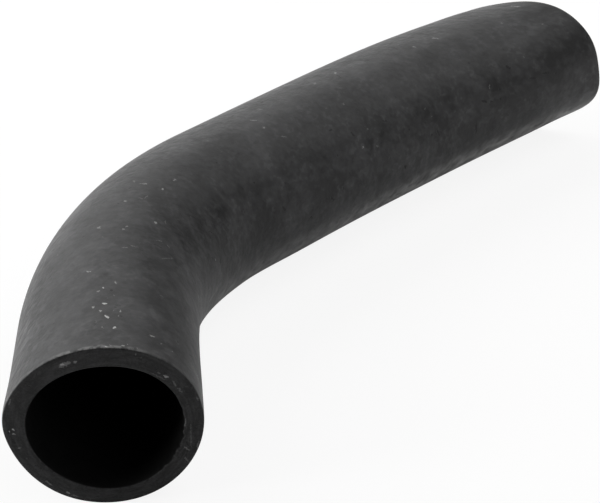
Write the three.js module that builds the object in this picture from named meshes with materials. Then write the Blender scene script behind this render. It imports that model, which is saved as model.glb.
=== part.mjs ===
/*
 * A moulded rubber coolant hose for a car's engine bay, in millimetres, +Z up.
 *
 * It is one piece of rubber with an open bore. It lies on its side on the ground, with its bend flat:
 * the mouth faces -Y, the short leg runs along +Y, the main bend turns it towards +X, and the long leg
 * carries on turning very slightly to the far end. The wall is turned as a straight tube, then every point
 * of it is carried onto the bent centreline.
 */
import * as THREE from "three";

// Bore and wall
const boreDiameter = 35;
const wallThickness = 4.75;

// Centreline, in order from the mouth
const mouthLegLength = 33.5;
const bendRadius = 86.5;
const bendDegrees = 47.5;
const middleLegLength = 9;
const sweepRadius = 810;
const sweepDegrees = 6.5;
const farLegLength = 26.5;

// Where the rubber departs from a true circle, as a change of radius
const bendFlattening = 0.75; // the bend pulls the inside and the outside of the tube together
const bendFlatteningReach = 44;
const mouthOval = 0.5; // the mouth is wider than it is tall
const mouthOvalDegrees = -6;
const mouthEgg = 0.33; // and slightly three-sided, with one of the fuller sides towards its top right
const mouthEggDegrees = 36.5;
const mouthReach = 35.5;
const farOval = 1.05; // the far end is wider than it is tall
const farOvalDegrees = 7;
const farReach = 49;
const boreDrop = 0.5; // the bore lies this much low at the mouth, so the wall is thicker above it

// The cuts at the two ends: the mouth is cut square, the far end aslant
const farCutDegrees = 32; // the side on the inside of the bend is the longer one
const farCutLeanDegrees = 3; // and the top is a little longer than the belly
const farCutReach = 45;
const cutEdgeRound = 0.6;

// How finely the surface is divided
const facesAround = 48;
const stationSpacing = 7;
const roundFacets = 3;

const boreRadius = boreDiameter / 2;
const outsideRadius = boreRadius + wallThickness;
const radians = THREE.MathUtils.degToRad;

const bendTurn = radians(bendDegrees);
const sweepTurn = radians(sweepDegrees);
const runs = [
  { length: mouthLegLength, turn: 0 },
  { length: bendRadius * bendTurn, turn: bendTurn },
  { length: middleLegLength, turn: 0 },
  { length: sweepRadius * sweepTurn, turn: sweepTurn },
  { length: farLegLength, turn: 0 },
];
const hoseLength = runs.reduce((sum, run) => sum + run.length, 0);
const bendMiddle = runs[0].length + runs[1].length / 2;

/** Point and heading of the centreline at a station. The heading is 0 along +Y and grows towards +X. */
function centrelineAt(station) {
  let x = 0;
  let y = 0;
  let heading = 0;
  let left = station;
  for (const [index, run] of runs.entries()) {
    const last = index === runs.length - 1;
    // The first and last legs are straight, so they also serve the stations beyond the two ends
    const length = last ? left : Math.min(left, run.length);
    if (run.turn === 0) {
      x += Math.sin(heading) * length;
      y += Math.cos(heading) * length;
    } else {
      const radius = run.length / run.turn;
      const next = heading + length / radius;
      x += radius * (Math.cos(heading) - Math.cos(next));
      y += radius * (Math.sin(next) - Math.sin(heading));
      heading = next;
    }
    left -= length;
    if (left <= 0) break;
  }
  return { x, y, heading };
}

/** Fades from 1 at no distance to nearly 0 at twice the reach. */
function fade(distance, reach) {
  return Math.exp(-((distance / reach) ** 2));
}

/** Two-lobed change of radius: fuller along the given direction and its opposite. */
function oval(amount, angle, direction) {
  return amount * Math.cos(2 * (angle - direction));
}

/**
 * Change of radius at a station, in the direction of an angle around the hose. The angle is 0 towards the
 * inside of the bend and grows upwards.
 */
function departure(station, angle) {
  const bend = -oval(bendFlattening, angle, 0) * fade(station - bendMiddle, bendFlatteningReach);
  const mouthShape = oval(mouthOval, angle, radians(mouthOvalDegrees))
    + mouthEgg * Math.cos(3 * (angle - radians(mouthEggDegrees)));
  const mouth = mouthShape * fade(station, mouthReach);
  const far = oval(farOval, angle, radians(farOvalDegrees)) * fade(hoseLength - station, farReach);
  return bend + mouth + far;
}

/** How far the slanted cut moves a point along the hose, from its place in the section. */
function cutShift(station, across, up) {
  const share = THREE.MathUtils.clamp(1 - (hoseLength - station) / farCutReach, 0, 1);
  return share * (across * Math.tan(radians(farCutDegrees)) + up * Math.tan(radians(farCutLeanDegrees)));
}

/** A quarter round of the cut edge, as points on a circle about its own centre. */
function quarterRound(centreRadius, centreStation, fromDegrees) {
  return Array.from({ length: roundFacets + 1 }, (_, step) => {
    const angle = radians(fromDegrees + (90 * step) / roundFacets);
    return new THREE.Vector2(
      centreRadius + cutEdgeRound * Math.cos(angle),
      centreStation + cutEdgeRound * Math.sin(angle),
    );
  });
}

/** Section of the straight wall: the outside, the far cut, the bore, and the mouth cut, closed on itself. */
function wallProfile() {
  const outer = outsideRadius - cutEdgeRound;
  const inner = boreRadius + cutEdgeRound;
  const start = cutEdgeRound;
  const end = hoseLength - cutEdgeRound;
  const steps = Math.round((end - start) / stationSpacing);
  const stations = Array.from({ length: steps - 1 }, (_, i) => start + ((end - start) * (i + 1)) / steps);
  const outside = stations.map((station) => new THREE.Vector2(outsideRadius, station));
  const bore = stations.map((station) => new THREE.Vector2(boreRadius, station)).reverse();
  const profile = [
    ...quarterRound(outer, start, -90),
    ...outside,
    ...quarterRound(outer, end, 0),
    ...quarterRound(inner, end, 90),
    ...bore,
    ...quarterRound(inner, start, 180),
  ];
  return [...profile, profile[0].clone()];
}

/** Carries each point of the straight wall onto the bent centreline, with the belly kept on the ground. */
function bendWall(geometry) {
  const position = geometry.attributes.position;
  for (let i = 0; i < position.count; i += 1) {
    const across = position.getX(i);
    const along = position.getY(i);
    const up = position.getZ(i);
    const angle = Math.atan2(up, across);
    const radius = Math.hypot(across, up);

    const station = along + cutShift(along, across, up);
    const fuller = radius + departure(station, angle);
    const depthInWall = (outsideRadius - radius) / wallThickness;
    const drop = boreDrop * depthInWall * fade(station, mouthReach);
    const sectionAcross = fuller * Math.cos(angle);
    const sectionUp = fuller * Math.sin(angle) - drop;

    const place = along + cutShift(along, sectionAcross, sectionUp);
    const centre = centrelineAt(place);
    const height = outsideRadius + departure(along, -Math.PI / 2);
    position.setXYZ(
      i,
      centre.x + sectionAcross * Math.cos(centre.heading),
      centre.y - sectionAcross * Math.sin(centre.heading),
      height + sectionUp,
    );
  }
}

const geometry = new THREE.LatheGeometry(wallProfile(), facesAround);
bendWall(geometry);

// The origin is under the middle of the hose, on the ground
geometry.computeBoundingBox();
const middle = geometry.boundingBox.getCenter(new THREE.Vector3());
geometry.translate(-middle.x, -middle.y, 0);
geometry.computeVertexNormals();

const rubber = new THREE.MeshStandardMaterial({ color: 0x2e2e30, roughness: 0.7, metalness: 0 });
const hose = new THREE.Mesh(geometry, rubber);
hose.name = "hose";

const coolantHose = new THREE.Group();
coolantHose.add(hose);

export default coolantHose;
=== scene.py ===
import logging
import math
from dataclasses import dataclass, field
from enum import Enum
from typing import Any, Callable, Optional, Sequence, Union

import bmesh
import bpy
import numpy as np
from mathutils import Matrix, Vector
from mathutils.bvhtree import BVHTree
from mathutils.interpolate import poly_3d_calc


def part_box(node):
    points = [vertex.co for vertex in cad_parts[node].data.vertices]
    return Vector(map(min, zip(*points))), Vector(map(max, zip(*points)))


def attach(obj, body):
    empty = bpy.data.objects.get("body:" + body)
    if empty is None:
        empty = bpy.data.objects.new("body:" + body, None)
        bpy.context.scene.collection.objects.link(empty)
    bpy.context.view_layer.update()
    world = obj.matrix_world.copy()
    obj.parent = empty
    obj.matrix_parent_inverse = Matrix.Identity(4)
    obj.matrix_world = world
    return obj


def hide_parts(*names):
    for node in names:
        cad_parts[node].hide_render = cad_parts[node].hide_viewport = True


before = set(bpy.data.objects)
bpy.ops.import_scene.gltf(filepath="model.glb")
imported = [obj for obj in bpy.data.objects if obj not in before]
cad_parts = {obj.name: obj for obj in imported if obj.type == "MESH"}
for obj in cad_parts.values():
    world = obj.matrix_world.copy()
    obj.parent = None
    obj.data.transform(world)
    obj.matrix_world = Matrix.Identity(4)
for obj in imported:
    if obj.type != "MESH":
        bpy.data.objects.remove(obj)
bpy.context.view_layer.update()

log = logging.getLogger("hose")

MM = 0.001


# Shader expressions


class Term:
    """A value of a shader that can stand in ordinary arithmetic. Each operation adds its node."""

    def __init__(self, sheet: "Sheet", socket: bpy.types.NodeSocket) -> None:
        """Wraps a socket.

        Args:
            sheet: the node tree that the socket is in.
            socket: an output socket.
        """
        self.sheet = sheet
        self.socket = socket

    def _math(self, operation: str, *operands: "Number") -> "Term":
        """Adds one Math node with these operands in order."""
        return self.sheet.add("ShaderNodeMath", {"operation": operation}, dict(enumerate(operands)))

    def __add__(self, other: "Number") -> "Term":
        """self + other."""
        return self._math("ADD", self, other)

    def __sub__(self, other: "Number") -> "Term":
        """self - other."""
        return self._math("SUBTRACT", self, other)

    def __rsub__(self, other: "Number") -> "Term":
        """other - self."""
        return self._math("SUBTRACT", other, self)

    def __mul__(self, other: "Number") -> "Term":
        """self * other."""
        return self._math("MULTIPLY", self, other)

    def __truediv__(self, other: "Number") -> "Term":
        """self / other."""
        return self._math("DIVIDE", self, other)

    def __pow__(self, other: "Number") -> "Term":
        """self to the power of other."""
        return self._math("POWER", self, other)

    def __abs__(self) -> "Term":
        """Size of self without its sign."""
        return self._math("ABSOLUTE", self)

    __radd__ = __add__
    __rmul__ = __mul__

    def above(self, low: float, high: float) -> "Term":
        """Rises smoothly from 0 at low to 1 at high."""
        settings = {"interpolation_type": "SMOOTHSTEP"}
        inputs = {"Value": self, "From Min": low, "From Max": high}
        return self.sheet.add("ShaderNodeMapRange", settings, inputs)

    def below(self, low: float, high: float) -> "Term":
        """Falls smoothly from 1 at low to 0 at high."""
        return 1.0 - self.above(low, high)

    def least(self, other: "Number") -> "Term":
        """The smaller of self and other."""
        return self._math("MINIMUM", self, other)

    def most(self, other: "Number") -> "Term":
        """The larger of self and other."""
        return self._math("MAXIMUM", self, other)

    def hump(self, middle: float, reach: float) -> "Term":
        """A smooth hump that is 1 at middle and falls to 0 at reach from it."""
        return abs(self - middle).below(0.0, reach)


Number = Union[Term, float]


class Sheet:
    """The node tree of one material, with a method for every kind of node that the finishes use."""

    def __init__(self, tree: bpy.types.NodeTree) -> None:
        """Empties the tree.

        Args:
            tree: a material's or a world's node tree.
        """
        self.tree = tree
        tree.nodes.clear()

    def add(self, kind: str, settings: Optional[dict[str, Any]] = None,
            inputs: Optional[dict[Any, Any]] = None, output: Any = 0) -> Term:
        """Adds any node.

        Args:
            kind: the node's type.
            settings: its own settings, which are set first.
            inputs: values or terms for its sockets, by name or number.
            output: name or number of the socket that the result stands for.

        Returns:
            The chosen output as a term.
        """
        node = self.tree.nodes.new(kind)
        for name, value in (settings or {}).items():
            setattr(node, name, value)
        for key, value in (inputs or {}).items():
            if isinstance(value, Term):
                self.tree.links.new(value.socket, node.inputs[key])
            else:
                node.inputs[key].default_value = value
        return Term(self, node.outputs[output] if len(node.outputs) else None)

    def scaled(self, vector: Term, factors: Sequence[float]) -> Term:
        """A vector with each of its parts times its own factor."""
        return self.add("ShaderNodeVectorMath", {"operation": "MULTIPLY"}, {0: vector, 1: tuple(factors)})

    def parts(self, vector: Term) -> tuple[Term, Term, Term]:
        """The three numbers of a vector."""
        first = self.add("ShaderNodeSeparateXYZ", {}, {0: vector})
        outputs = first.socket.node.outputs
        return Term(self, outputs[0]), Term(self, outputs[1]), Term(self, outputs[2])

    def vector(self, x: Number, y: Number, z: Number) -> Term:
        """A vector from three numbers."""
        return self.add("ShaderNodeCombineXYZ", {}, {0: x, 1: y, 2: z})

    def noise(self, at: Term, size: float, detail: float = 2.0, roughness: float = 0.5) -> Term:
        """Soft noise from 0 to 1.

        Args:
            at: where it is read, in millimetres.
            size: the rough width of its patches, in the same unit.
            detail: how many finer layers it has.
            roughness: how strong those layers are.

        Returns:
            The noise.
        """
        return self.add("ShaderNodeTexNoise", {"noise_dimensions": "3D"}, {
            "Vector": at, "Scale": 1.0 / size, "Detail": detail, "Roughness": roughness})

    def stirred(self, at: Term, size: float, reach: float) -> Term:
        """A place moved about by soft noise, so that shapes read there have uneven borders.

        Args:
            at: the place, in millimetres.
            size: the rough width of the noise's patches.
            reach: the width of the range that a place is moved within.

        Returns:
            The moved place.
        """
        inputs = {"Vector": at, "Scale": 1.0 / size, "Detail": 1.0}
        draw = self.add("ShaderNodeTexNoise", {"noise_dimensions": "3D"}, inputs, "Color")
        middle = self.add("ShaderNodeVectorMath", {"operation": "SUBTRACT"}, {0: draw, 1: (0.5, 0.5, 0.5)})
        move = self.scaled(middle, (reach,) * 3)
        return self.add("ShaderNodeVectorMath", {"operation": "ADD"}, {0: at, 1: move})

    def away(self, at: Term, point: Sequence[float]) -> Term:
        """Distance of a place from a fixed point."""
        settings = {"operation": "DISTANCE"}
        return self.add("ShaderNodeVectorMath", settings, {0: at, 1: tuple(point)}, "Value")

    def specks(self, at: Term, spacing: float, radius: float, share: float) -> Term:
        """Small specks, scattered at random.

        Args:
            at: where they are read, in millimetres.
            spacing: mean distance between places for a speck.
            radius: size of the largest speck.
            share: share of the places that hold one.

        Returns:
            0 between specks, and up to 1 on a speck, each with a strength of its own.
        """
        cell = self.add("ShaderNodeTexVoronoi", {"feature": "F1"}, {"Vector": at, "Scale": 1.0 / spacing})
        outputs = cell.socket.node.outputs
        distance = Term(self, outputs["Distance"]) * spacing
        draw = self.parts(Term(self, outputs["Color"]))
        chosen = draw[0].above(1.0 - share, 1.0 - share + 0.02)
        return distance.below(radius * 0.3, radius) * chosen * (draw[1] ** 1.6 * 0.85 + 0.15)

    def tint(self, share: Term, low: Sequence[float], high: Sequence[float]) -> Term:
        """Mixes two fixed colours by a share from 0 to 1."""
        return self.blend(share, (*low, 1.0), (*high, 1.0))

    def blend(self, share: Term, low: Union[Term, Sequence[float]],
              high: Union[Term, Sequence[float]]) -> Term:
        """Mixes two colours or colour terms by a share from 0 to 1."""
        node = self.tree.nodes.new("ShaderNodeMix")
        node.data_type = "RGBA"
        for socket, value in ((node.inputs[0], share), (node.inputs[6], low), (node.inputs[7], high)):
            if isinstance(value, Term):
                self.tree.links.new(value.socket, socket)
            else:
                socket.default_value = value
        return Term(self, node.outputs[2])

    def bump(self, height: Term) -> Term:
        """A normal from a relief height in millimetres."""
        return self.add("ShaderNodeBump", {}, {"Height": height, "Strength": 1.0, "Distance": MM})

    def surface(self, shader: Term) -> None:
        """Joins the shader to the material's output."""
        self.add("ShaderNodeOutputMaterial", {}, {"Surface": shader})


# Sizes of the hose


@dataclass(frozen=True)
class Leg:
    """One stretch of the centreline, straight or on an arc, from its start to the next leg's start."""

    length: float
    turn: float
    station: float
    start: Vector
    heading: float

    @property
    def forward(self) -> Vector:
        """Direction of travel at the start, in plan."""
        return Vector((math.sin(self.heading), math.cos(self.heading)))

    @property
    def inward(self) -> Vector:
        """Direction to the inside of the bend at the start, in plan."""
        return Vector((math.cos(self.heading), -math.sin(self.heading)))

    @property
    def radius(self) -> float:
        """Radius of the arc."""
        return self.length / self.turn

    @property
    def centre(self) -> Vector:
        """Centre of the arc, in plan."""
        return self.start + self.inward * self.radius

    def measure(self, plan: np.ndarray) -> tuple[np.ndarray, np.ndarray, np.ndarray]:
        """Finds where points lie against this leg.

        Args:
            plan: points in plan, one row each.

        Returns:
            Distance in front of the leg's start plane, station, and distance towards the inside.
        """
        ahead = (plan - np.array(self.start)) @ np.array(self.forward)
        if self.turn == 0:
            return ahead, self.station + ahead, (plan - np.array(self.start)) @ np.array(self.inward)
        arm = plan - np.array(self.centre)
        angle = np.arctan2(arm @ np.array(self.forward), -(arm @ np.array(self.inward)))
        return ahead, self.station + self.radius * angle, self.radius - np.linalg.norm(arm, axis=1)

    def place(self, station: np.ndarray) -> tuple[np.ndarray, np.ndarray]:
        """Finds points on this leg's centreline.

        Args:
            station: distances along the whole hose.

        Returns:
            Points in plan, and headings in radians.
        """
        along = station - self.station
        start, forward, inward = (np.array(v) for v in (self.start, self.forward, self.inward))
        if self.turn == 0:
            return start + along[:, None] * forward, np.full(len(station), self.heading)
        angle = along / self.radius
        return (start + self.radius * (np.sin(angle)[:, None] * forward
                                       + (1 - np.cos(angle))[:, None] * inward), self.heading + angle)


@dataclass
class Centreline:
    """The hose's planar centreline, from the middle of its mouth, heading along +Y and turning to +X."""

    mouth_leg: float = 33.5 * MM
    bend_radius: float = 86.5 * MM
    bend_turn: float = math.radians(47.5)
    middle_leg: float = 9 * MM
    sweep_radius: float = 810 * MM
    sweep_turn: float = math.radians(6.5)
    far_leg: float = 26.5 * MM
    legs: list[Leg] = field(init=False)

    def __post_init__(self) -> None:
        """Strings the legs together."""
        runs = ((self.mouth_leg, 0.0), (self.bend_radius * self.bend_turn, self.bend_turn),
                (self.middle_leg, 0.0), (self.sweep_radius * self.sweep_turn, self.sweep_turn),
                (self.far_leg, 0.0))
        self.legs = []
        station, start, heading = 0.0, Vector((0.0, 0.0)), 0.0
        for length, turn in runs:
            leg = Leg(length, turn, station, start, heading)
            self.legs.append(leg)
            points, headings = leg.place(np.array([station + length]))
            station, start, heading = station + length, Vector(points[0]), float(headings[0])

    @property
    def length(self) -> float:
        """Length of the centreline."""
        return sum(leg.length for leg in self.legs)

    @property
    def bend_middle(self) -> float:
        """Station of the middle of the main bend."""
        return self.legs[1].station + self.legs[1].length / 2

    def measure(self, plan: np.ndarray) -> tuple[np.ndarray, np.ndarray]:
        """Finds the station of points near the hose, and how far each lies towards the inside."""
        _, station, across = self.legs[0].measure(plan)
        for leg in self.legs[1:]:
            ahead, leg_station, leg_across = leg.measure(plan)
            station = np.where(ahead >= 0, leg_station, station)
            across = np.where(ahead >= 0, leg_across, across)
        return station, across

    def place(self, station: np.ndarray) -> tuple[np.ndarray, np.ndarray]:
        """Finds points in plan and headings at these stations. The end legs also serve stations past them."""
        points, heading = self.legs[0].place(station)
        for leg in self.legs[1:]:
            leg_points, leg_heading = leg.place(station)
            past = station >= leg.station
            points = np.where(past[:, None], leg_points, points)
            heading = np.where(past, leg_heading, heading)
        return points, heading


def fade(distance: np.ndarray, reach: float) -> np.ndarray:
    """Falls from 1 at no distance to nearly 0 at twice the reach."""
    return np.exp(-((distance / reach) ** 2))


@dataclass(frozen=True)
class Section:
    """How the rubber departs from a round tube, as changes of radius in metres. Angles are in degrees, from
    the inside of the bend upwards."""

    bore_radius: float = 17.5 * MM
    wall: float = 4.75 * MM
    bend_flattening: float = 0.75 * MM
    bend_reach: float = 44 * MM
    mouth_oval: float = 0.5 * MM
    mouth_oval_degrees: float = -6
    mouth_egg: float = 0.33 * MM
    mouth_egg_degrees: float = 36.5
    mouth_reach: float = 35.5 * MM
    far_oval: float = 1.05 * MM
    far_oval_degrees: float = 7
    far_reach: float = 49 * MM
    bore_drop: float = 0.5 * MM
    far_cut_degrees: float = 32
    far_cut_lean_degrees: float = 3
    far_cut_reach: float = 45 * MM

    @property
    def outside_radius(self) -> float:
        """Radius of the outside."""
        return self.bore_radius + self.wall

    def departure(self, line: Centreline, station: np.ndarray, angle: np.ndarray) -> np.ndarray:
        """Change of radius at a station, in the direction of an angle around the hose."""
        bend = -self.bend_flattening * np.cos(2 * angle) * fade(station - line.bend_middle, self.bend_reach)
        mouth = (self.mouth_oval * np.cos(2 * (angle - math.radians(self.mouth_oval_degrees)))
                 + self.mouth_egg * np.cos(3 * (angle - math.radians(self.mouth_egg_degrees))))
        far = self.far_oval * np.cos(2 * (angle - math.radians(self.far_oval_degrees)))
        far = far * fade(line.length - station, self.far_reach)
        return bend + mouth * fade(station, self.mouth_reach) + far

    def cut_shift(self, line: Centreline, station: np.ndarray, across: np.ndarray,
                  up: np.ndarray) -> np.ndarray:
        """How far the slanted far cut moves a point along the hose."""
        share = np.clip(1 - (line.length - station) / self.far_cut_reach, 0, 1)
        return share * (across * math.tan(math.radians(self.far_cut_degrees))
                        + up * math.tan(math.radians(self.far_cut_lean_degrees)))


@dataclass(frozen=True)
class Dent:
    """A soft swelling of the wall, in millimetres, or a dent where its height is negative."""

    station: float
    degrees: float
    height: float
    along: float = 11.0
    around: float = 11.0
    through: float = 0.0

    def rise(self, station: np.ndarray, angle: np.ndarray, depth: np.ndarray, radius: float) -> np.ndarray:
        """Works out how far the swelling moves points of the wall outwards.

        Args:
            station: place of each point along the hose, in metres.
            angle: its angle around the hose, in radians.
            depth: its depth in the wall, from 0 on the skin to 1 in the bore.
            radius: radius of the skin, in metres.

        Returns:
            The move of each point, in metres.
        """
        turn = (angle - math.radians(self.degrees) + math.pi) % (2 * math.pi) - math.pi
        spread = fade(station / MM - self.station, self.along) * fade(turn * radius / MM, self.around)
        return self.height * MM * spread * (1 - (1 - self.through) * depth)


@dataclass(frozen=True)
class TornEdge:
    """A stretch of the mouth's bore edge that the knife left ragged, in millimetres and degrees."""

    degrees: float = -24.0
    around: float = 34.0
    height: float = 0.14
    along: float = 0.9
    waves: tuple[tuple[int, float], ...] = ((17, 0.4), (29, 1.9), (43, 0.0), (61, 2.6))

    def rise(self, station: np.ndarray, angle: np.ndarray, depth: np.ndarray) -> np.ndarray:
        """Works out how far the raggedness moves points of the wall outwards, in metres."""
        spread = fade(np.degrees(angle) - self.degrees, self.around) * fade(station / MM, self.along)
        lumps = sum(np.sin(count * angle + phase) for count, phase in self.waves)
        return self.height * MM * spread * lumps * np.clip((depth - 0.8) / 0.2, 0, 1)


# The unevenness that the outline shows, in round sizes. The long leg is a little fuller on both sides than
# a true tube, the bend has one full and one hollow place on its inside, and the mouth's rim bulges in two
# places. The far end is pressed out of round, with a full corner low on the inside of the bend and a softer
# one on top.
FAR_END = Centreline().length / MM
LONG_LEG = (Dent(190, 125, 0.5, 35, 20), Dent(175, -50, 0.4, 35, 20))
BEND_INSIDE = (Dent(40, -10, 0.4), Dent(108, -45, -0.4))
MOUTH_RIM = (Dent(0, 170, 0.6, 9, 7), Dent(0, -125, 0.5, 9, 12))
FAR_RIM = tuple(Dent(FAR_END, degrees, height, along=8, around=9, through=0.6)
                for degrees, height in ((-46, -1.0), (-23, 2.0), (0, -1.0), (65, 1.0), (110, -0.7)))


# The camera


@dataclass(frozen=True)
class PhotoCamera:
    """The photograph's view of the hose."""

    target: tuple[float, float, float] = (-14.62 * MM, -20.14 * MM, 20.29 * MM)
    distance: float = 458.0 * MM
    azimuth: float = math.pi - 3.09523
    elevation: float = 0.53833
    roll: float = -0.05974
    focal_pixels: float = 1718.9
    image_width: int = 600
    image_height: int = 503
    sensor: float = 36.0

    @property
    def pose(self) -> Matrix:
        """The camera's place and axes."""
        level = math.cos(self.elevation)
        back = Vector((-level * math.sin(self.azimuth), -level * math.cos(self.azimuth),
                       math.sin(self.elevation)))
        right = Vector((0, 0, 1)).cross(back).normalized()
        upward = back.cross(right)
        cos, sin = math.cos(self.roll), math.sin(self.roll)
        axes = Matrix((cos * right + sin * upward, cos * upward - sin * right, back)).transposed()
        return Matrix.Translation(Vector(self.target) + back * self.distance) @ axes.to_4x4()

    def sight(self, pixel: tuple[float, float]) -> tuple[Vector, Vector]:
        """The line of sight through a pixel: the camera's place, and a direction."""
        right = pixel[0] - (self.image_width - 1) / 2
        upward = (self.image_height - 1) / 2 - pixel[1]
        direction = self.pose.to_3x3() @ Vector((right, upward, -self.focal_pixels))
        return self.pose.translation, direction.normalized()

    def depth(self, place: Vector) -> float:
        """How far in front of the camera a place lies."""
        return -(self.pose.inverted() @ place).z

    def place(self) -> None:
        """Adds the camera and makes it the scene's."""
        data = bpy.data.cameras.new("photo_camera")
        camera = bpy.data.objects.new("photo_camera", data)
        bpy.context.scene.collection.objects.link(camera)
        data.sensor_width = self.sensor
        data.lens = self.focal_pixels * self.sensor / self.image_width
        data.clip_start = 0.01
        camera.matrix_world = self.pose
        bpy.context.scene.camera = camera


# Finishes


def straight_space(sheet: Sheet) -> Term:
    """The place of a point in the hose before it was bent, in millimetres: across, along, and up."""
    return sheet.add("ShaderNodeAttribute", {"attribute_name": "straight"}, {}, "Vector")


@dataclass(frozen=True)
class Mark:
    """A long or round mark on the hose, with its two ends in straight space, in millimetres."""

    first: Vector
    last: Vector
    reach: float
    strength: float

    def draw(self, sheet: Sheet, place: Term, softness: float) -> Term:
        """Draws the mark as an ellipse round its two ends.

        Args:
            sheet: the material's sheet.
            place: the place that is shaded, in straight space.
            softness: how much of its reach is a soft border, from 0 to 1.

        Returns:
            Its strength in its middle, and 0 outside it.
        """
        length = (self.last - self.first).length
        if length < 0.05:
            distance = sheet.away(place, self.first)
            outer, inner = self.reach, self.reach * (1 - softness)
        else:
            distance = sheet.away(place, self.first) + sheet.away(place, self.last)
            outer = math.hypot(length, 2 * self.reach)
            inner = math.hypot(length, 2 * self.reach * (1 - softness))
        return sheet.add("ShaderNodeMapRange", {"interpolation_type": "SMOOTHSTEP"}, {
            "Value": distance, "From Min": outer, "From Max": inner, "To Max": self.strength})


def strongest(drawn: Sequence[Term]) -> Term:
    """The largest of several terms at each place."""
    whole = drawn[0]
    for term in drawn[1:]:
        whole = whole.most(term)
    return whole


@dataclass(frozen=True)
class Note:
    """A mark as noted on the photograph: its two ends and its reach, in pixels, and its strength."""

    first_x: float
    first_y: float
    last_x: float
    last_y: float
    reach: float
    strength: float

    def ends(self, taller: bool) -> tuple[tuple[float, float], tuple[float, float]]:
        """Both ends. A round mark can be drawn a little taller than wide."""
        lift = 0.0
        if taller and (self.first_x, self.first_y) == (self.last_x, self.last_y):
            lift = 0.5 * self.reach
        return (self.first_x, self.first_y - lift), (self.last_x, self.last_y + lift)


def spot(x: float, y: float, reach: float, strength: float) -> Note:
    """A round mark."""
    return Note(x, y, x, y, reach, strength)


# How far a speck stands out from the skin
BRIGHT, CLEAR, WEAK, FAINT = 0.85, 0.45, 0.28, 0.15

# Marks noted on the photograph in the pixels of its 600 x 503 frame: bright specks and streaks, pits, and
# soft pale or dark smear marks on the skin, some of which are painted light; torn chips and nicks on the
# mouth's cut face. The darker colour of the pits and nicks is painted shade in them.
SPECKS = (
    Note(86, 271, 90, 271.5, 1.2, CLEAR), spot(115, 282, 1.6, CLEAR), spot(102.9, 287.1, 1.4, BRIGHT),
    spot(97.9, 290.7, 1.6, WEAK), spot(113.6, 295, 1.0, WEAK), Note(101.5, 303, 106, 303, 1.3, BRIGHT),
    spot(92.9, 306.7, 1.7, CLEAR), spot(100, 310.4, 1.6, CLEAR), Note(104, 314.5, 108, 317.5, 1.9, BRIGHT),
    spot(120, 310.4, 1.5, CLEAR), spot(113.5, 309.3, 1.0, WEAK), spot(102.1, 326.9, 1.3, CLEAR),
    spot(113.9, 327.1, 1.4, BRIGHT), spot(118.6, 315, 1.0, WEAK), Note(95.7, 319, 95.7, 323.5, 0.7, FAINT),
    spot(122.9, 228.9, 1.4, WEAK), spot(98.6, 227.1, 1.8, WEAK), Note(125, 226.5, 127.5, 225.5, 1.1, WEAK),
    spot(122, 229, 1.2, WEAK), Note(128, 243.5, 139, 248, 0.8, WEAK), Note(121, 247, 127, 247, 0.9, WEAK),
    Note(155, 239.3, 162, 241, 0.9, WEAK), Note(166, 244, 169.5, 247.5, 1.0, WEAK),
    spot(155, 222, 1.8, CLEAR), spot(162.2, 188.5, 1.6, CLEAR), spot(125, 200.5, 1.6, WEAK),
    Note(139.5, 183.3, 147, 183.3, 1.2, WEAK), Note(133.5, 179.5, 134, 182, 1.1, FAINT),
    Note(172.5, 180, 176, 178.5, 1.2, WEAK), Note(137, 197, 143, 198.5, 0.9, FAINT),
    Note(143, 198.5, 147.5, 194.5, 0.9, FAINT), Note(165, 220, 165, 223, 1.0, FAINT),
    Note(161, 258, 173.5, 258, 0.9, FAINT), Note(197, 293, 199.3, 301.5, 1.3, WEAK),
    spot(215, 259.3, 1.8, WEAK), Note(159.5, 294, 162.5, 297, 0.9, FAINT), spot(263.3, 127.1, 1.5, WEAK),
    Note(257, 108.5, 262, 109, 1.1, FAINT), Note(249, 119.5, 256, 119.8, 0.9, WEAK),
    spot(335, 72.6, 1.8, WEAK), spot(313.9, 83.1, 1.8, FAINT), spot(362.7, 146.7, 1.5, WEAK),
    spot(343.3, 103.9, 1.4, FAINT), Note(280, 135.8, 286, 136.3, 0.8, FAINT),
    Note(412, 46.3, 415, 46.7, 1.6, WEAK), Note(431, 37.5, 438, 38, 1.4, WEAK), spot(501, 22.5, 1.2, FAINT),
    Note(510, 5.5, 520, 6.5, 1.1, WEAK), spot(424.5, 108.5, 1.3, FAINT), Note(489, 84, 489, 89, 0.9, FAINT),
    Note(104.5, 346, 107.5, 346.3, 1.4, BRIGHT), Note(121, 344.8, 125, 345.6, 1.2, CLEAR),
    Note(108, 344.7, 115, 344.9, 0.9, WEAK), spot(127, 343.8, 1.0, WEAK), spot(136.8, 347.3, 1.2, WEAK),
    Note(148.5, 335, 154, 336.3, 1.2, CLEAR), spot(161, 343.7, 1.1, WEAK), spot(177.5, 343.5, 1.2, FAINT),
    spot(172.5, 351.3, 0.9, WEAK), Note(163, 360.5, 165, 361, 1.2, CLEAR),
    Note(197, 374, 197.5, 378, 1.1, WEAK), spot(57, 254.8, 1.1, FAINT),
)
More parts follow.
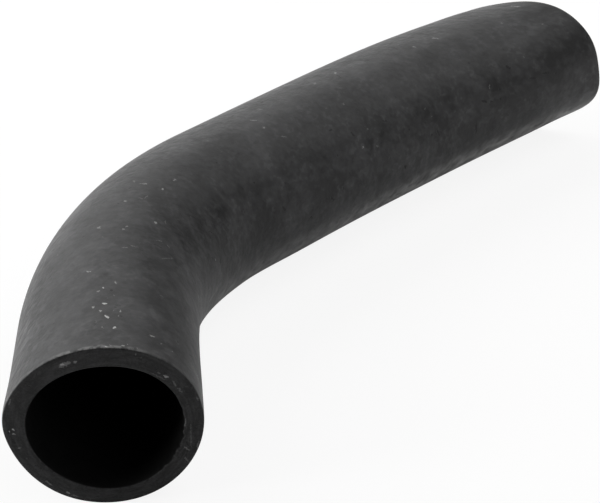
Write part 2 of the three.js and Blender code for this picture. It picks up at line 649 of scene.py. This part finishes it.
PITS = (
    spot(111, 290, 1.5, 0.5), spot(119.5, 305, 1.3, 0.5), spot(115, 307, 1.2, 0.5),
    spot(121, 316, 1.3, 0.4), spot(89, 331.5, 1.2, 0.4), Note(150.5, 220, 153, 221, 0.8, 0.5),
    Note(152, 243, 163, 249, 1.3, 0.45), Note(208, 230.3, 212, 233, 1.0, 0.6), spot(211.4, 257, 1.4, 0.7),
    Note(219.3, 257, 219.3, 265, 1.3, 0.5), spot(177, 341.5, 1.4, 0.7),
    Note(188, 353.5, 192, 357, 1.0, 0.5), spot(232.6, 115.7, 1.1, 0.6), spot(261.5, 102, 1.1, 0.5),
    Note(264, 113.5, 272, 116.5, 0.8, 0.4), Note(336, 74.5, 341, 78, 0.9, 0.45),
    Note(324, 79.3, 332, 80, 0.8, 0.4), Note(329, 129.5, 332, 130, 1.2, 0.5), spot(337, 154.5, 1.2, 0.6),
    Note(349, 131, 354, 135.5, 1.2, 0.5), Note(382, 120.5, 387, 121, 1.0, 0.5),
    Note(282, 206, 285, 210, 1.6, 0.4), Note(505, 65, 510, 68.5, 1.2, 0.6), spot(499.3, 89, 1.2, 0.6),
    spot(500, 98.7, 1.5, 0.6), Note(481, 100, 486, 101.5, 1.4, 0.6), Note(489, 100.5, 492, 101, 1.0, 0.5),
    spot(431, 134.5, 1.5, 0.5), Note(436, 129, 439, 136, 1.2, 0.5), Note(475, 121, 475, 134, 1.0, 0.4),
    spot(404.5, 166.5, 1.8, 0.6), spot(408.5, 129, 1.3, 0.5), spot(568, 47, 1.8, 0.4),
    Note(541, 73, 548, 72.5, 1.0, 0.5), spot(555, 73, 1.0, 0.4), Note(528, 78, 536, 77.5, 0.8, 0.4),
    Note(586, 34, 587, 39, 1.1, 0.5), Note(244, 210, 244, 213, 1.2, 0.4),
    Note(330, 197, 334, 200, 1.2, 0.4), Note(310, 216, 312, 218, 1.4, 0.4),
)
# Smear marks: the light and dark ones along the near leg's left edge (x 20 to 70) paint a broken highlight;
# the two strongest on the bend's inside corner (x 208 to 221) and those on the far lip (x 560 to 593) are
# painted highlights; those along the lower edge of the long leg (x 448 to 530) are painted reflection of the
# floor; the rest are the skin's own pale and dark patches.
SMEARS_AND_PAINTED_LIGHT = (
    Note(505, 45, 528, 35, 4.5, 0.30), Note(528, 34, 545, 24, 4.5, 0.42), Note(545, 24, 562, 17, 4.0, 0.30),
    Note(350, 150, 357, 159, 3.0, 0.22), Note(344, 186, 356, 178, 4.0, 0.28),
    Note(356, 178, 370, 167, 4.0, 0.26), Note(516, 70, 521, 74, 3.5, 0.18),
    Note(535, 86, 544, 80, 2.0, 0.20), Note(455, 163, 462, 148, 3.0, 0.40),
    Note(448, 168, 455, 152, 2.5, 0.35), Note(436, 122, 443, 134, 1.4, 0.35),
    Note(410, 92, 418, 96, 4.0, 0.16), Note(228, 162, 237, 150, 2.5, 0.20),
    Note(208, 303, 215, 291, 2.5, 1.7), Note(215, 291, 221, 283, 2.1, 0.85),
    Note(228, 285, 230, 277, 2.0, 0.5), Note(236, 264, 236, 258, 2.0, 0.35),
    Note(240, 275, 243, 270, 2.0, 0.5), Note(195, 290, 199, 302, 2.5, 0.30),
    Note(150, 305, 155, 320, 3.5, 0.40), Note(186, 308, 190, 320, 3.0, 0.30),
    Note(560, 110, 580, 100, 6.5, 0.55), Note(580, 100, 593, 91, 4.3, 0.85),
    Note(66, 270, 70, 263, 2.5, 0.40), Note(60, 281, 66, 272, 2.5, 0.30), Note(52, 262, 60, 254, 2.5, 0.25),
    Note(33, 350, 38, 342, 2.5, 0.45), Note(47, 350, 53, 344, 2.5, 0.40), Note(24, 330, 30, 318, 3.5, 0.25),
    Note(20, 352, 26, 340, 3.0, 0.30), Note(76, 306, 78, 334, 6.0, 0.20),
    Note(110, 265, 99, 258, 1.2, 0.25), Note(98, 270, 104, 262, 1.0, 0.25),
    Note(100, 251, 130, 250, 2.0, 0.14), Note(300, 88, 312, 80, 4.0, 0.15),
    Note(236, 112, 250, 106, 2.5, 0.25), Note(244, 118, 252, 112, 1.5, 0.25),
    Note(330, 70, 350, 66, 3.5, 0.16), Note(435, 24, 462, 20, 5.0, 0.15), Note(480, 50, 492, 36, 5.0, 0.12),
    Note(208, 160, 222, 158, 3.0, 0.14), Note(278, 178, 284, 184, 3.0, 0.20),
    Note(241, 213, 248, 211, 2.0, 0.20), Note(302, 205, 309, 209, 5.0, 0.16),
    Note(355, 200, 361, 197, 3.0, 0.18), Note(500, 138, 530, 124, 5.0, 0.50),
    Note(452, 161, 480, 148, 4.5, 0.40), Note(325, 187, 332, 192, 11.0, -0.26),
    Note(378, 180, 388, 176, 7.0, -0.24), Note(490, 104, 516, 100, 6.0, -0.26),
    Note(415, 135, 448, 138, 6.0, -0.16), Note(540, 60, 575, 66, 14.0, -0.05),
    spot(103.5, 274.5, 4.5, -0.40), Note(300, 158, 345, 150, 7.0, -0.12),
    Note(272, 222, 282, 226, 6.0, -0.18), Note(240, 196, 262, 186, 9.0, -0.12),
    Note(300, 150, 318, 140, 6.0, -0.12), Note(462, 137, 478, 133, 5.0, -0.18),
    Note(60, 300, 56, 312, 3.0, -0.30), Note(40, 330, 44, 318, 2.5, -0.30),
    Note(78, 238, 92, 228, 4.0, -0.15), Note(168, 222, 176, 232, 5.0, -0.12),
    Note(186, 200, 196, 215, 7.0, -0.10),
)
CHIPS = (
    Note(58, 366.5, 70, 361.5, 2.7, 0.28), Note(60, 364.5, 64, 363.6, 1.6, 0.75),
    Note(73, 362, 76, 360.8, 1.8, 0.35), Note(163.5, 375, 167.5, 377, 1.6, 0.55),
    Note(156.5, 371, 160, 373, 1.2, 0.15), Note(172, 380, 176, 386, 1.2, 0.22),
    Note(177, 387, 182, 392, 1.2, 0.18), spot(13, 429, 1.6, 0.85), spot(13, 433.5, 1.5, 0.7),
    spot(9, 431.3, 1.0, 0.8), Note(17, 448, 20, 447.5, 1.2, 0.3), Note(66, 491, 70, 493.5, 1.6, 0.4),
    Note(71, 494.5, 78, 496, 1.2, 0.25), Note(183, 446, 189, 450, 1.3, 0.2),
    Note(184, 456, 188, 462, 1.2, 0.15), Note(196, 448, 199, 440, 1.3, 0.2), spot(135, 353.5, 1.5, 0.2),
    Note(196, 396, 198, 400, 1.2, 0.2), Note(185, 418, 184, 426, 1.3, 0.2),
    Note(150, 372, 166, 380, 1.0, 0.12), Note(45, 480, 52, 485, 1.2, 0.2), Note(8, 405, 10, 398, 1.0, 0.2),
    Note(190, 420, 191, 450, 1.0, 0.10),
)
NICKS = (
    spot(165.3, 372, 1.5, 1.0), spot(156.8, 368.4, 1.1, 1.0), Note(145.5, 360, 146, 366, 1.2, 0.8),
    Note(138, 357.5, 142, 359, 1.5, 0.4), Note(12, 438, 15, 443, 1.4, 0.8),
    Note(8, 428, 8.5, 436, 0.8, 0.6), Note(183, 386, 192, 394, 3.0, 0.35),
    Note(186, 403, 189, 404, 1.0, 0.6), Note(62, 369, 72, 365, 1.0, 0.5), Note(26, 384, 30, 386, 1.0, 0.4),
    Note(36, 372, 36, 377, 1.0, 0.4), Note(186, 440, 188, 445, 1.2, 0.5),
    Note(161, 481, 164, 479, 1.2, 0.4),
)

# How much wider pits and smears are drawn than noted, as their borders are soft
PIT_SPREAD, SMEAR_SPREAD = 1.3, 1.5

# How much of a mark's reach is a soft border
NICK_BORDER, SPECK_BORDER, SMEAR_BORDER = 0.5, 0.6, 0.8


class PhotoReader:
    """Carries noted marks from the photograph's pixels onto the laid hose, along the camera's sight."""

    def __init__(self, piece: bpy.types.Object, camera: PhotoCamera) -> None:
        """Prepares the hose's surface, so that a line of sight can meet it.

        Args:
            piece: the laid hose, with its "straight" attribute.
            camera: the photograph's camera.
        """
        mesh = piece.data
        self.camera = camera
        self.corners = [vertex.co.copy() for vertex in mesh.vertices]
        self.straight = [item.vector.copy() for item in mesh.attributes["straight"].data]
        self.faces = [tuple(face.vertices) for face in mesh.polygons]
        self.surface = BVHTree.FromPolygons(self.corners, self.faces)

    def _find(self, pixel: tuple[float, float]) -> tuple[Vector, float]:
        """Finds what a pixel shows.

        Args:
            pixel: a place in the photograph.

        Returns:
            The place on the hose in straight space, and a pixel's width there, both in millimetres.
        """
        eye, sight = self.camera.sight(pixel)
        place, _, face, _ = self.surface.ray_cast(eye, sight)
        if place is None:
            log.info("pixel %s lies beside the hose, and the nearest point serves", pixel)
            place, _, face, _ = self.surface.find_nearest(eye + sight * self.camera.distance)
        shares = poly_3d_calc([self.corners[corner] for corner in self.faces[face]], place)
        straight = Vector((0.0, 0.0, 0.0))
        for corner, share in zip(self.faces[face], shares):
            straight += self.straight[corner] * share
        return straight, self.camera.depth(place) / self.camera.focal_pixels / MM

    def _read(self, note: Note, taller: bool, settle: Callable, spread: float) -> Mark:
        """Turns one note into a mark, with both ends settled onto the surface that it belongs to."""
        (first, first_width), (last, last_width) = (self._find(end) for end in note.ends(taller))
        reach = note.reach * spread * (first_width + last_width) / 2
        return Mark(settle(first), settle(last), reach, note.strength)

    def on_skin(self, notes: Sequence[Note], taller: bool = False, spread: float = 1.0) -> list[Mark]:
        """Reads marks on the skin.

        Args:
            notes: the marks as noted.
            taller: whether round ones are drawn a little taller than wide.
            spread: how much wider they are drawn than noted.

        Returns:
            The marks, on a true tube's skin.
        """
        radius = Section().outside_radius / MM

        def settle(at: Vector) -> Vector:
            share = radius / math.hypot(at.x, at.z)
            return Vector((at.x * share, at.y, at.z * share))

        return [self._read(note, taller, settle, spread) for note in notes]

    def on_cut(self, notes: Sequence[Note]) -> list[Mark]:
        """Reads marks on the mouth's cut face."""
        return [self._read(note, False, lambda at: Vector((at.x, 0.0, at.z)), 1.0) for note in notes]


@dataclass(frozen=True)
class SkinFinish:
    """The moulded outer skin: matt black, with a pale haze, wrapping marks, bright specks and streaks, crumbs
    and pits, and painted light: painted shade in the pits, a painted broken highlight along the left side,
    painted floor reflection along the lower side, and painted highlights on the bend's inside corner and the
    far lip.
    """

    name: str = "hose_skin"
    deep: tuple[float, float, float] = (0.0040, 0.0040, 0.0043)
    pale: tuple[float, float, float] = (0.064, 0.064, 0.066)
    # Pale colour of the specks and the rim's crumbs, also used for the painted floor reflection along the
    # lower side
    dust_and_reflection_tone: tuple[float, float, float] = (0.44, 0.44, 0.43)
    roughness: float = 0.55
    gloss: float = 0.29
    sheen: float = 0.14
    twist: float = -0.026
    bend_station: float = 64.0
    bend_reach: float = 34.0

    def make(self, reader: PhotoReader) -> bpy.types.Material:
        """Builds the material.

        Args:
            reader: carries the noted marks onto the hose.

        Returns:
            The material.
        """
        material = bpy.data.materials.new(self.name)
        material.use_nodes = True
        sheet = Sheet(material.node_tree)
        place = straight_space(sheet)
        across, along, up = sheet.parts(place)

        clouds = sheet.noise(place, 13.0, 1.0) - 0.5
        mottle = sheet.noise(place, 4.6, 1.0, 0.5) - 0.5
        leather = sheet.noise(place, 1.5, 1.0) - 0.5
        grain = sheet.noise(place, 0.45, 1.0) - 0.5
        busy = sheet.noise(place, 6.5, 1.0).above(0.46, 0.60)

        # Marks of the cloth wrap run round the hose in a spiral, and gather on both sides of the bend
        drifting = sheet.stirred(place, 2.6, 2.2)
        turned = sheet.add("ShaderNodeVectorRotate", {"rotation_type": "Y_AXIS"}, {
            "Vector": drifting, "Angle": along * self.twist})
        wrap = sheet.noise(turned, 2.0, 1.0) - 0.5
        bend = along.hump(self.bend_station, self.bend_reach)
        gathered = across.below(-20.0, 4.0) * 0.35 + bend * across.above(8.0, 20.0) * 0.35 + 0.5
        gathered = gathered * (sheet.noise(place, 7.0, 1.0).above(0.40, 0.60) * 0.8 + 0.4)

        # The two sides that lie widest in view. The left side gets broken blotches and a lightening near the
        # bend in its colour:
        # a painted broken highlight. The lower side is blended in blotches towards a pale colour: painted
        # reflection of the floor.
        facing = sheet.add("ShaderNodeVectorRotate", {"rotation_type": "Y_AXIS"}, {
            "Vector": place, "Angle": along.above(28.0, 100.0) * -0.80})
        wide = sheet.parts(facing)[0]
        outer = wide.below(-20.5, -9.0)
        inner = wide.above(19.2, 22.0) * along.above(45.0, 100.0) * (along.above(120.0, 190.0) * 0.5 + 0.5)
        lumps = sheet.noise(place, 2.6, 2.0) - 0.5
        reflection_blotches = sheet.noise(drifting, 3.2, 1.0)

        blotches = sheet.noise(place, 3.6, 1.0).above(0.47, 0.56) + wrap.above(0.0, 0.06) * gathered
        flakes = leather.above(0.06, 0.13) * busy
        uneven = sheet.stirred(place, 0.50, 0.95)
        bright = reader.on_skin(SPECKS, taller=True)
        specks = strongest([mark.draw(sheet, uneven, SPECK_BORDER) for mark in bright])
        specks = specks.most(sheet.specks(uneven, 2.6, 0.34, 0.10) * 0.22)
        # Pits are drawn darker in colour as well as sunk in the relief; the darker colour is painted shade in
        # them.
        dark = reader.on_skin(PITS, taller=True, spread=PIT_SPREAD)
        pits = strongest([mark.draw(sheet, uneven, SPECK_BORDER) for mark in dark])
        pits = pits.most(sheet.specks(uneven, 2.5, 0.50, 0.12) * 0.7)
        soft = reader.on_skin(SMEARS_AND_PAINTED_LIGHT, spread=SMEAR_SPREAD)
        smears_and_painted_light = sum(mark.draw(sheet, drifting, SMEAR_BORDER) for mark in soft)
        crumbs = along.below(0.55, 1.60) * sheet.noise(uneven, 1.7, 2.0).above(0.38, 0.62)
        crumbs = crumbs * (up.above(18.0, 22.0) * 0.17 + 0.06)

        # The skin's own pale haze and patches, plus painted light: pits are darkened as painted shade in
        # them, some smear marks are painted highlights and painted floor reflection, and the left side's
        # blotches and its lightening near the bend are a painted broken highlight.
        bloom_and_painted_light = (clouds * 0.65 + mottle * 0.55 + leather * 0.35 + blotches * 0.08 + wrap * gathered * 0.30
                 + flakes * 0.12 - pits * 0.35 + smears_and_painted_light * (mottle * 0.75 + 0.5)
                 + outer * (lumps * 1.1 + bend * 0.25) + 0.11)
        colour = sheet.tint(bloom_and_painted_light.most(0.0).least(1.0), self.deep, self.pale)
        # The lower side is blended in blotches towards the pale speck colour: painted reflection of the
        # floor, stronger towards the far end. Specks and the rim's crumbs are blended towards the same
        # colour.
        dust_and_reflection = specks.most(crumbs).most(inner * (reflection_blotches * 1.0 - 0.31)).least(1.0)
        colour = sheet.blend(dust_and_reflection, colour, (*self.dust_and_reflection_tone, 1.0))
        roughness = mottle * 0.30 + grain * 0.20 + pits * 0.30 + self.roughness
        relief = (grain * 0.006 + leather * 0.040 + mottle * 0.20 + clouds * 0.25
                  + wrap * gathered * 0.13 + outer * lumps * 0.40 - pits * 0.08)
        shader = sheet.add("ShaderNodeBsdfPrincipled", {}, {
            "Base Color": colour, "Roughness": roughness, "Normal": sheet.bump(relief),
            "Specular IOR Level": self.gloss, "Sheen Weight": self.sheen})
        sheet.surface(shader)
        return material


@dataclass(frozen=True)
class CutFinish:
    """The knife-cut end faces: flat dark rubber with faint drag marks, pits and a few bright crumbs, with
    painted shade in the pits and nicks and painted floor light along the bottom.
    """

    name: str = "hose_cut"
    deep: tuple[float, float, float] = (0.0030, 0.0030, 0.0032)
    pale: tuple[float, float, float] = (0.0200, 0.0200, 0.0205)
    crumb: tuple[float, float, float] = (0.30, 0.30, 0.30)
    roughness: float = 0.60
    gloss: float = 0.25
    middle_radius: float = 19.9

    def make(self, reader: PhotoReader) -> bpy.types.Material:
        """Builds the material.

        Args:
            reader: carries the noted marks onto the hose.

        Returns:
            The material.
        """
        material = bpy.data.materials.new(self.name)
        material.use_nodes = True
        sheet = Sheet(material.node_tree)
        place = straight_space(sheet)
        across, _, up = sheet.parts(place)
        radius = (across * across + up * up) ** 0.5
        # Rings round the bore: the direction from its centre, shortened, and the distance from it
        ringed = sheet.vector(across / radius * 3.0, up / radius * 3.0, radius)
        rings = sheet.noise(ringed, 0.75, 2.0, 0.6) - 0.5
        mottle = sheet.noise(place, 2.2, 3.0, 0.62) - 0.5
        speckle = sheet.noise(place, 0.55, 2.0, 0.6) - 0.5
        uneven = sheet.stirred(place, 0.5, 0.8)
        # Nicks and pits: darker in colour, which is painted shade in them, and sunk in the relief.
        pits = strongest([mark.draw(sheet, uneven, NICK_BORDER) for mark in reader.on_cut(NICKS)])
        pits = pits.most(sheet.specks(uneven, 1.9, 0.50, 0.20) * 0.6)
        chips = strongest([mark.draw(sheet, uneven, SPECK_BORDER) for mark in reader.on_cut(CHIPS)])
        chips = chips.most(sheet.specks(uneven, 1.7, 0.30, 0.12) * 0.12)
        edge = abs(radius - self.middle_radius).above(1.75, 2.30) * speckle.above(0.0, 0.12)
        # The bottom of the cut face is painted lighter: painted bounce light from the floor.
        shade = (mottle * 1.6 + rings * 2.6 + speckle * 1.5 - pits * 1.2 + edge * 1.1
                 + up.below(-21.0, -15.0) * 0.50 + 0.38)
        colour = sheet.tint(shade.most(0.0).least(1.0), self.deep, self.pale)
        colour = sheet.blend(chips, colour, (*self.crumb, 1.0))
        relief = mottle * 0.20 + rings * 0.12 + speckle * 0.05 - pits * 0.25 + chips * 0.15
        shader = sheet.add("ShaderNodeBsdfPrincipled", {}, {
            "Base Color": colour, "Roughness": mottle * 0.3 + self.roughness,
            "Normal": sheet.bump(relief), "Specular IOR Level": self.gloss})
        sheet.surface(shader)
        return material


@dataclass(frozen=True)
class BoreFinish:
    """The bore: smooth black rubber with the fine rings that the mandrel leaves."""

    name: str = "hose_bore"
    deep: tuple[float, float, float] = (0.0020, 0.0020, 0.0020)
    pale: tuple[float, float, float] = (0.0070, 0.0070, 0.0070)
    roughness: float = 0.6
    gloss: float = 0.10

    def make(self, reader: PhotoReader) -> bpy.types.Material:
        """Builds the material.

        Args:
            reader: not used.

        Returns:
            The material.
        """
        material = bpy.data.materials.new(self.name)
        material.use_nodes = True
        sheet = Sheet(material.node_tree)
        place = straight_space(sheet)
        rings = sheet.noise(sheet.scaled(place, (0.12, 1.0, 0.12)), 1.6, 2.0)
        mottle = sheet.noise(place, 4.0, 3.0)
        colour = sheet.tint((mottle * 0.6 + rings * 0.4).least(1.0), self.deep, self.pale)
        relief = (rings - 0.5) * 0.05 + (mottle - 0.5) * 0.08
        shader = sheet.add("ShaderNodeBsdfPrincipled", {}, {
            "Base Color": colour, "Roughness": (mottle - 0.5) * 0.15 + self.roughness,
            "Normal": sheet.bump(relief), "Specular IOR Level": self.gloss})
        sheet.surface(shader)
        return material


# The hose


class Zone(Enum):
    """The parts of the surface that have a finish of their own. The value is the material's place."""

    SKIN = 0
    CUT = 1
    BORE = 2


@dataclass
class Hose:
    """The moulded hose, built as a bent tube from a ring, and then laid to its true section."""

    line: Centreline = field(default_factory=Centreline)
    section: Section = field(default_factory=Section)
    faces_around: int = 96
    step: float = 2.6 * MM
    cut_edge: float = 0.4 * MM
    cut_margins: tuple[float, ...] = (0.16, 0.16, 0.10)
    rim_degrees: float = 60
    shading_degrees: float = 50
    cut_slope: float = 0.55
    dents: tuple[Dent, ...] = LONG_LEG + BEND_INSIDE + MOUTH_RIM + FAR_RIM
    torn_edge: TornEdge = TornEdge()

    def build(self) -> bpy.types.Object:
        """Builds the hose's mesh and dresses it.

        Returns:
            The finished piece.
        """
        piece = self._ring()
        self._run_along_centreline()
        self._finish_cut_ends(piece)
        bpy.ops.object.mode_set(mode="OBJECT")
        self._smooth(piece)
        self._lay(piece)
        self._dress(piece)
        return piece

    def _ring(self) -> bpy.types.Object:
        """Starts the tube as the flat ring of its mouth, and leaves it in edit mode, all selected."""
        bpy.ops.object.select_all(action="DESELECT")
        bpy.ops.mesh.primitive_circle_add(vertices=self.faces_around, radius=self.section.outside_radius,
                                          fill_type="NGON", rotation=(math.pi / 2, 0, 0))
        piece = bpy.context.object
        piece.name = "coolant_hose"
        piece.data.name = "coolant_hose"
        bpy.ops.object.transform_apply(location=True, rotation=True, scale=True)
        bpy.ops.object.mode_set(mode="EDIT")
        bpy.ops.mesh.select_all(action="SELECT")
        bpy.ops.mesh.inset(thickness=self.section.wall, depth=0)
        bpy.ops.mesh.delete(type="FACE")
        bpy.ops.mesh.select_all(action="SELECT")
        return piece

    def _run_along_centreline(self) -> None:
        """Extrudes the ring along the straight legs and spins it round the bends."""
        for leg in self.line.legs:
            steps = max(2, round(leg.length / self.step))
            if leg.turn == 0:
                stride = leg.forward * (leg.length / steps)
                for _ in range(steps):
                    bpy.ops.mesh.extrude_region_move(TRANSFORM_OT_translate={"value": (*stride, 0)})
            else:
                bpy.ops.mesh.spin(steps=steps, angle=leg.turn, center=(*leg.centre, 0), axis=(0, 0, 1))

    def _select(self, piece: bpy.types.Object, faces: Optional[Callable] = None,
                edges: Optional[Callable] = None) -> None:
        """Selects the faces or edges that a test picks, and nothing else."""
        bpy.ops.mesh.select_all(action="DESELECT")
        mesh = bmesh.from_edit_mesh(piece.data)
        for face in mesh.faces if faces else ():
            if faces(face):
                face.select = True
        for edge in mesh.edges if edges else ():
            if edges(edge):
                edge.select = True
        mesh.select_flush_mode()
        bmesh.update_edit_mesh(piece.data)

    def _on_cut(self, point: Vector) -> bool:
        """Whether a point lies on either end face of the tube."""
        last = self.line.legs[-1]
        station = last.station + (Vector(point.xy) - last.start).dot(last.forward)
        slack = 0.02 * MM
        return abs(point.y) < slack or abs(station - self.line.length) < slack

    def _finish_cut_ends(self, piece: bpy.types.Object) -> None:
        """Gives the two end faces their margins, and rounds their four edges a little."""
        self._select(piece, faces=lambda face: all(self._on_cut(v.co) for v in face.verts))
        for share in self.cut_margins:
            bpy.ops.mesh.inset(thickness=self.section.wall * share, depth=0)
        self._select(piece, edges=lambda edge: edge.calc_face_angle(0) > math.radians(self.rim_degrees)
                     and all(self._on_cut(v.co) for v in edge.verts))
        bpy.ops.mesh.bevel(offset=self.cut_edge, segments=2, affect="EDGES")

    def _smooth(self, piece: bpy.types.Object) -> None:
        """Rounds the facets with a subdivision surface."""
        bpy.ops.object.select_all(action="DESELECT")
        piece.select_set(True)
        bpy.context.view_layer.objects.active = piece
        smooth = piece.modifiers.new("round_facets", "SUBSURF")
        smooth.levels = smooth.render_levels = 1
        bpy.ops.object.modifier_apply(modifier=smooth.name)

    def _lay(self, piece: bpy.types.Object) -> None:
        """Moves every vertex to the hose's true section, with its belly on the ground, and dresses it."""
        mesh = piece.data
        points = np.empty(len(mesh.vertices) * 3)
        mesh.vertices.foreach_get("co", points)
        points = points.reshape(-1, 3)
        along, across = self.line.measure(points[:, :2])
        up = points[:, 2]
        radius = np.hypot(across, up)
        angle = np.arctan2(up, across)

        self._keep_straight_space(mesh, across, along, up)
        self._paint_zones(mesh, points, across, along, up)

        outside = self.section.outside_radius
        depth = np.clip((outside - radius) / self.section.wall, 0, 1)
        station = along + self.section.cut_shift(self.line, along, across, up)
        fuller = radius + self.section.departure(self.line, station, angle)
        for dent in self.dents:
            fuller = fuller + dent.rise(along, angle, depth, outside)
        fuller = fuller + self.torn_edge.rise(along, angle, depth)
        drop = self.section.bore_drop * depth * fade(station, self.section.mouth_reach)
        section_across = fuller * np.cos(angle)
        section_up = fuller * np.sin(angle) - drop

        place = along + self.section.cut_shift(self.line, along, section_across, section_up)
        centre, heading = self.line.place(place)
        down = np.full_like(along, -math.pi / 2)
        height = outside + self.section.departure(self.line, along, down)
        laid = np.column_stack((centre[:, 0] + section_across * np.cos(heading),
                                centre[:, 1] - section_across * np.sin(heading),
                                np.maximum(height + section_up, 0)))
        laid[:, :2] += self._mouth_place()
        mesh.vertices.foreach_set("co", laid.ravel())
        mesh.update()
        bpy.ops.object.mode_set(mode="EDIT")
        bpy.ops.mesh.select_all(action="SELECT")
        bpy.ops.mesh.normals_make_consistent(inside=False)
        bpy.ops.object.mode_set(mode="OBJECT")
        bpy.ops.object.shade_smooth_by_angle(angle=math.radians(self.shading_degrees))

    def _mouth_place(self) -> np.ndarray:
        """Plan position of the middle of the mouth, from the node's box."""
        low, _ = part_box("hose")
        angle = np.linspace(0, 2 * math.pi, 721)
        reach = self.section.outside_radius + self.section.departure(self.line, np.zeros(721), angle)
        bulge = np.linspace(0, self.line.mouth_leg, 60)
        side = np.full(60, math.pi)
        left = (self.section.outside_radius + self.section.departure(self.line, bulge, side)).max()
        left = max(left, -(reach * np.cos(angle)).min())
        return np.array([low[0] + left, low[1]])

    def _keep_straight_space(self, mesh: bpy.types.Mesh, across: np.ndarray, along: np.ndarray,
                             up: np.ndarray) -> None:
        """Stores each vertex's place in the straight tube, in millimetres, for the finishes to read."""
        attribute = mesh.attributes.new("straight", "FLOAT_VECTOR", "POINT")
        attribute.data.foreach_set("vector", (np.column_stack((across, along, up)) / MM).ravel())

    def _paint_zones(self, mesh: bpy.types.Mesh, points: np.ndarray, across: np.ndarray,
                     along: np.ndarray, up: np.ndarray) -> None:
        """Gives each face the finish of its zone."""
        mesh.vertices.foreach_set("co", np.column_stack((across, along, up)).ravel())
        mesh.update()
        count = len(mesh.polygons)
        normal, centre = np.empty(count * 3), np.empty(count * 3)
        mesh.polygons.foreach_get("normal", normal)
        mesh.polygons.foreach_get("center", centre)
        normal, centre = normal.reshape(-1, 3), centre.reshape(-1, 3)
        middle = self.section.bore_radius + self.section.wall / 2
        outer = np.hypot(centre[:, 0], centre[:, 2]) > middle
        zone = np.where(outer, Zone.SKIN.value, Zone.BORE.value)
        zone = np.where(np.abs(normal[:, 1]) > self.cut_slope, Zone.CUT.value, zone)
        mesh.polygons.foreach_set("material_index", zone.astype(np.int32))

    def _dress(self, piece: bpy.types.Object) -> None:
        """Gives the laid hose its finishes, in the order of the zones."""
        reader = PhotoReader(piece, PhotoCamera())
        for finish in (SkinFinish(), CutFinish(), BoreFinish()):
            piece.data.materials.append(finish.make(reader))


# The studio


@dataclass(frozen=True)
class Softbox:
    """A soft studio lamp that looks at the hose."""

    name: str
    place: tuple[float, float, float]
    size: float
    watts: float

    def light(self) -> None:
        """Adds the lamp."""
        data = bpy.data.lights.new(self.name, "AREA")
        data.shape = "SQUARE"
        data.size = self.size
        data.energy = self.watts
        lamp = bpy.data.objects.new(self.name, data)
        bpy.context.scene.collection.objects.link(lamp)
        lamp.location = self.place
        lamp.rotation_euler = (-Vector(self.place)).to_track_quat("-Z", "Y").to_euler()


@dataclass
class Studio:
    """A pale floor, a dim even surround and soft lamps."""

    floor_size: float = 6.0
    floor_tone: float = 0.86
    floor_lift: float = 0.88
    surround: float = 0.01
    lamps: tuple[Softbox, ...] = (
        Softbox("softbox_left", (-1.07, 0.00, 0.27), 0.80, 16.4),
        Softbox("softbox_left_back", (-0.67, 0.56, 0.67), 0.80, 6.3),
        Softbox("softbox_back", (0.00, 0.88, 0.66), 0.80, 3.9),
        Softbox("softbox_top_right", (0.62, 0.16, 0.90), 0.80, 5.6),
        Softbox("softbox_front_right", (0.67, -0.67, 0.56), 0.80, 3.0),
    )

    def build(self) -> None:
        """Adds the floor, the surround and the lamps, and sets the view transform."""
        bpy.ops.object.select_all(action="DESELECT")
        bpy.ops.mesh.primitive_plane_add(size=self.floor_size)
        floor = bpy.context.object
        floor.name = "studio_floor"
        floor.data.materials.append(self._floor_material())
        bpy.context.scene.world = self._surround()
        for lamp in self.lamps:
            lamp.light()
        bpy.context.scene.view_settings.view_transform = "Standard"

    def _surround(self) -> bpy.types.World:
        """A white surround as the camera sees it, which lights the hose only dimly."""
        world = bpy.data.worlds.new("studio_surround")
        world.use_nodes = True
        sheet = Sheet(world.node_tree)
        white = (1.0, 1.0, 1.0, 1.0)
        dim = sheet.add("ShaderNodeBackground", {}, {"Color": white, "Strength": self.surround})
        bright = sheet.add("ShaderNodeBackground", {}, {"Color": white, "Strength": 1.0})
        seen = sheet.add("ShaderNodeLightPath", {}, {}, "Is Camera Ray")
        mixed = sheet.add("ShaderNodeMixShader", {}, {0: seen, 1: dim, 2: bright})
        sheet.add("ShaderNodeOutputWorld", {}, {"Surface": mixed})
        return world

    def _floor_material(self) -> bpy.types.Material:
        """Pale floor, lifted to near white as the camera sees it, which still keeps a faint shadow."""
        material = bpy.data.materials.new("studio_floor")
        material.use_nodes = True
        sheet = Sheet(material.node_tree)
        tone = (self.floor_tone,) * 3 + (1.0,)
        paper = sheet.add("ShaderNodeBsdfDiffuse", {}, {"Color": tone})
        white = sheet.add("ShaderNodeEmission", {}, {"Color": (1.0, 1.0, 1.0, 1.0), "Strength": 1.0})
        seen = sheet.add("ShaderNodeLightPath", {}, {}, "Is Camera Ray") * self.floor_lift
        sheet.surface(sheet.add("ShaderNodeMixShader", {}, {0: seen, 1: paper, 2: white}))
        return material


def main() -> None:
    """Builds the hose and its studio in order."""
    logging.basicConfig(level=logging.INFO, format="%(name)s: %(message)s")
    PhotoCamera().place()
    log.info("camera placed")

    hose = Hose().build()
    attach(hose, "root")
    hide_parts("hose")
    log.info("%s: %d vertices, %d faces", hose.name, len(hose.data.vertices), len(hose.data.polygons))

    Studio().build()
    log.info("studio lit")


if __name__ == "__main__":
    main()
